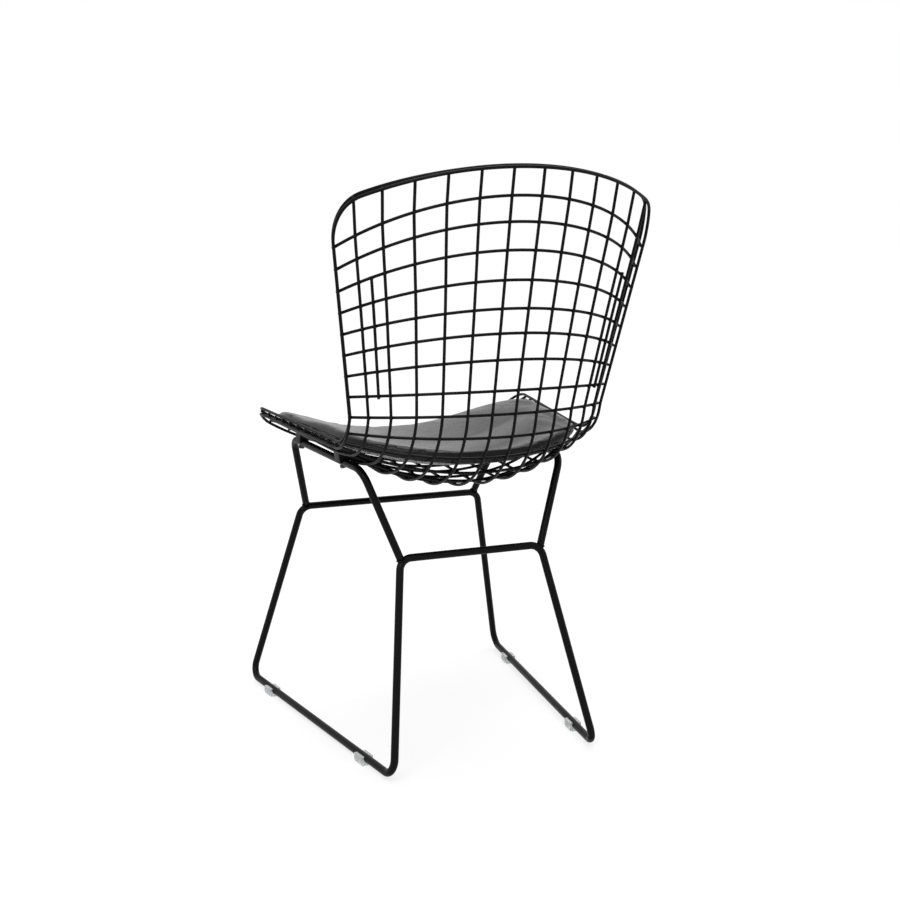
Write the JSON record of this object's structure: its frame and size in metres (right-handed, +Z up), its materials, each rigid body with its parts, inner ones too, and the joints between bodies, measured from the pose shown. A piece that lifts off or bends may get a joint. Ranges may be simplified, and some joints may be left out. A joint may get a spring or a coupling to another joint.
{
  "type": "wire mesh chair",
  "caption": "Armless side chair: a welded wire mesh shell with a dished back, on a bent rod sled base, with a loose seat pad.",
  "frame": {"origin": "on the floor, under the centre of the chair's bounding box", "axes": "+Z up, the chair faces -Y, +X to the sitter's left"},
  "size_m": [0.4342, 0.55, 0.7797],
  "materials": {
    "frame_black": "satin powder coat",
    "wire_black": "satin powder coat",
    "clip_black": "moulded nylon",
    "glide_clear": "translucent moulded plastic",
    "bolt_zinc": "zinc plated",
    "pad_leather": "smooth black leather over foam"
  },
  "bodies": {
    "root": {"sled_base": "frame_black", "seat_bracket_left": "frame_black", "seat_bracket_right": "frame_black", "cross_wire_01": "wire_black", "cross_wire_02": "wire_black", "cross_wire_03": "wire_black", "cross_wire_04": "wire_black", "cross_wire_05": "wire_black", "cross_wire_06": "wire_black", "cross_wire_07": "wire_black", "cross_wire_08": "wire_black", "cross_wire_09": "wire_black", "cross_wire_10": "wire_black", "cross_wire_11": "wire_black", "cross_wire_12": "wire_black", "cross_wire_13": "wire_black", "cross_wire_14": "wire_black", "cross_wire_15": "wire_black", "cross_wire_16": "wire_black", "cross_wire_17": "wire_black", "cross_wire_18": "wire_black", "cross_wire_19": "wire_black", "cross_wire_20": "wire_black", "cross_wire_21": "wire_black", "cross_wire_22": "wire_black", "long_wire_01": "wire_black", "long_wire_02": "wire_black", "long_wire_03": "wire_black", "long_wire_04": "wire_black", "long_wire_05": "wire_black", "long_wire_06": "wire_black", "long_wire_07": "wire_black", "long_wire_08": "wire_black", "long_wire_09": "wire_black", "long_wire_10": "wire_black", "long_wire_11": "wire_black", "long_wire_12": "wire_black", "short_wire_left": "wire_black", "short_wire_right": "wire_black", "rim_inner": "wire_black", "rim_outer": "wire_black", "saddle_clip_left_rear": "clip_black", "saddle_clip_left_front": "clip_black", "saddle_clip_right_rear": "clip_black", "saddle_clip_right_front": "clip_black", "glide_left_rear": "glide_clear", "glide_left_front": "glide_clear", "glide_right_rear": "glide_clear", "glide_right_front": "glide_clear", "clip_bolts": "bolt_zinc", "seat_pad": "pad_leather"}
  },
  "joints": []
}
